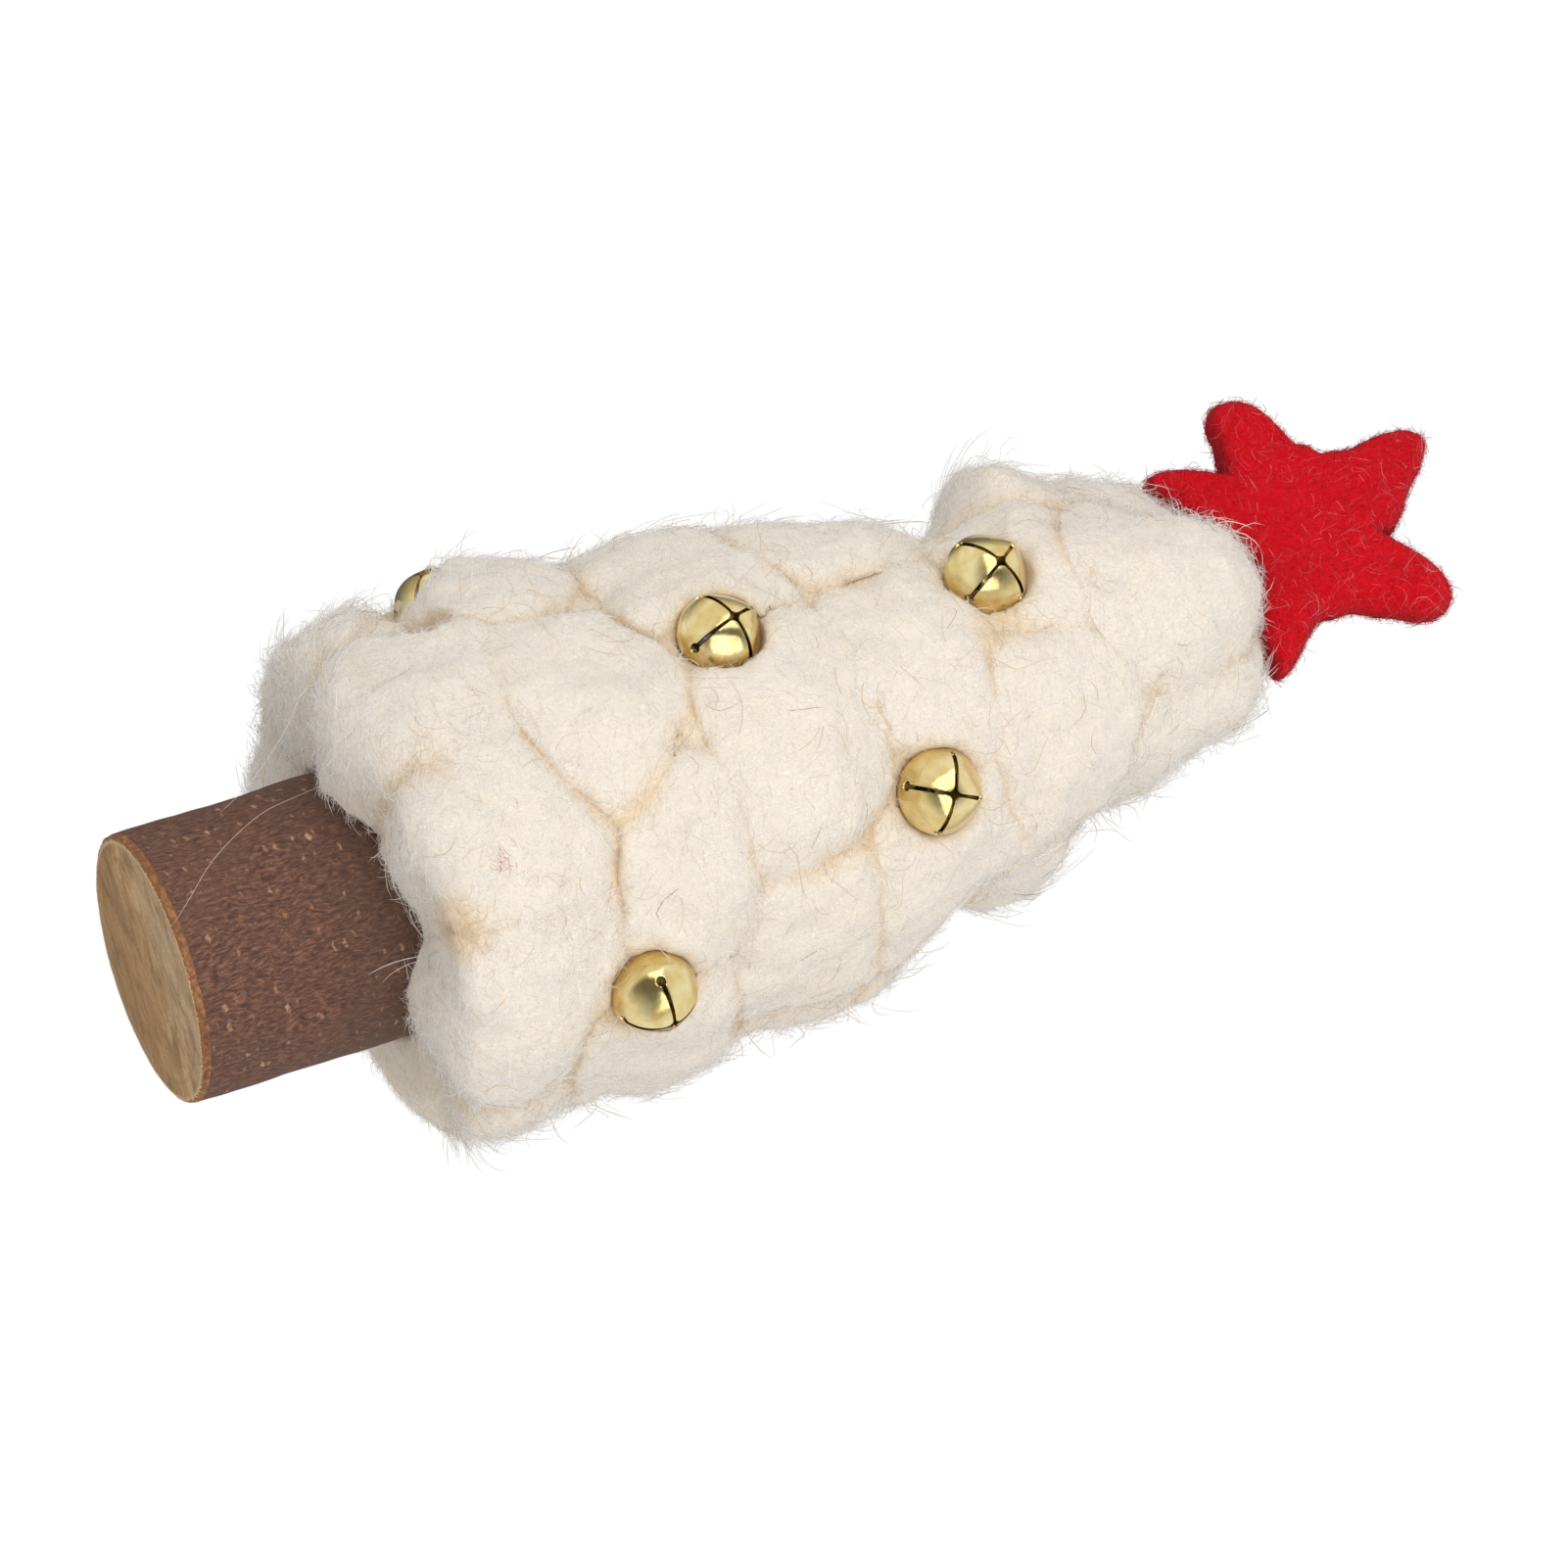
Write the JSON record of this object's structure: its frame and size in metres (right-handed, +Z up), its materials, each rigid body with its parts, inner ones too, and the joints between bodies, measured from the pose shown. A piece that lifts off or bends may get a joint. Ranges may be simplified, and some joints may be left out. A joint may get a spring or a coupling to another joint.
{
  "type": "felt christmas tree",
  "caption": "Small standing christmas tree of cream wool tufts felted over a cone on a bark log trunk, with round jingle bells sunk in the wool and a red felt star on top.",
  "frame": {"origin": "middle of the trunk's flat sawn base, where the tree stands", "axes": "+Z up the trunk to the star; the side that is meant to be seen faces -Y; +X to its right"},
  "size_m": [0.0667, 0.068, 0.172],
  "materials": {
    "bark_log": "dry reddish brown bark with pale lenticels, sawn ends",
    "packed_wool": "dense warm cream felted wool",
    "cream_wool": "fluffy loosely felted wool",
    "red_felt": "thick soft felt with stray fibres",
    "stamped_brass": "polished",
    "steel_pellet": "tumbled"
  },
  "bodies": {
    "tree": {"trunk": "bark_log", "wool_core": "packed_wool", "tuft_top_front": "cream_wool", "tuft_top_right": "cream_wool", "tuft_top_back": "cream_wool", "tuft_top_left": "cream_wool", "tuft_5_front_right": "cream_wool", "tuft_5_front_left": "cream_wool", "tuft_5_right": "cream_wool", "tuft_5_back": "cream_wool", "tuft_5_left": "cream_wool", "tuft_4_front": "cream_wool", "tuft_4_right": "cream_wool", "tuft_4_back_right": "cream_wool", "tuft_4_back_left": "cream_wool", "tuft_4_left": "cream_wool", "tuft_3_front": "cream_wool", "tuft_3_right": "cream_wool", "tuft_3_back_right": "cream_wool", "tuft_3_back": "cream_wool", "tuft_3_back_left": "cream_wool", "tuft_3_left": "cream_wool", "tuft_2_front": "cream_wool", "tuft_2_front_left": "cream_wool", "tuft_2_right": "cream_wool", "tuft_2_back_right": "cream_wool", "tuft_2_back_left": "cream_wool", "tuft_2_left": "cream_wool", "tuft_1_front": "cream_wool", "tuft_1_front_left": "cream_wool", "tuft_1_front_right": "cream_wool", "tuft_1_right": "cream_wool", "tuft_1_back": "cream_wool", "tuft_1_back_left": "cream_wool", "tuft_1_left": "cream_wool", "star": "red_felt", "bell_shell_1": "stamped_brass", "bell_loop_1": "stamped_brass", "bell_shell_2": "stamped_brass", "bell_loop_2": "stamped_brass", "bell_shell_3": "stamped_brass", "bell_loop_3": "stamped_brass", "bell_shell_4": "stamped_brass", "bell_loop_4": "stamped_brass", "bell_shell_5": "stamped_brass", "bell_loop_5": "stamped_brass", "bell_shell_6": "stamped_brass", "bell_loop_6": "stamped_brass", "bell_shell_7": "stamped_brass", "bell_loop_7": "stamped_brass", "bell_shell_8": "stamped_brass", "bell_loop_8": "stamped_brass"},
    "pellet_1": {"bell_pellet_1": "steel_pellet"},
    "pellet_2": {"bell_pellet_2": "steel_pellet"},
    "pellet_3": {"bell_pellet_3": "steel_pellet"},
    "pellet_4": {"bell_pellet_4": "steel_pellet"},
    "pellet_5": {"bell_pellet_5": "steel_pellet"},
    "pellet_6": {"bell_pellet_6": "steel_pellet"},
    "pellet_7": {"bell_pellet_7": "steel_pellet"},
    "pellet_8": {"bell_pellet_8": "steel_pellet"}
  },
  "joints": [
    {"name": "pellet_1_roll", "type": "hinge", "parent": "tree", "child": "pellet_1", "pos_m": [0.01929, -0.02298, 0.04861], "axis": [0.8713, -0.483, 0.0872], "continuous": true},
    {"name": "pellet_2_roll", "type": "hinge", "parent": "tree", "child": "pellet_2", "pos_m": [-0.01677, -0.02226, 0.06909], "axis": [-0.3052, -0.9393, 0.1564], "continuous": true},
    {"name": "pellet_3_roll", "type": "hinge", "parent": "tree", "child": "pellet_3", "pos_m": [0.00756, -0.02348, 0.08828], "axis": [0.1735, -0.9842, -0.0349], "continuous": true},
    {"name": "pellet_4_roll", "type": "hinge", "parent": "tree", "child": "pellet_4", "pos_m": [-0.01448, -0.01845, 0.10372], "axis": [-0.2071, -0.9744, 0.0872], "continuous": true},
    {"name": "pellet_5_roll", "type": "hinge", "parent": "tree", "child": "pellet_5", "pos_m": [-0.0299, 0.00367, 0.04627], "axis": [-0.9115, -0.3869, -0.1392], "continuous": true},
    {"name": "pellet_6_roll", "type": "hinge", "parent": "tree", "child": "pellet_6", "pos_m": [0.02232, 0.01505, 0.07482], "axis": [0.8851, 0.4317, 0.1736], "continuous": true},
    {"name": "pellet_7_roll", "type": "hinge", "parent": "tree", "child": "pellet_7", "pos_m": [0.00209, 0.02985, 0.05025], "axis": [-0.1041, 0.9907, 0.0872], "continuous": true},
    {"name": "pellet_8_roll", "type": "hinge", "parent": "tree", "child": "pellet_8", "pos_m": [-0.0134, 0.0196, 0.09822], "axis": [-0.4288, 0.8792, 0.2079], "continuous": true}
  ]
}
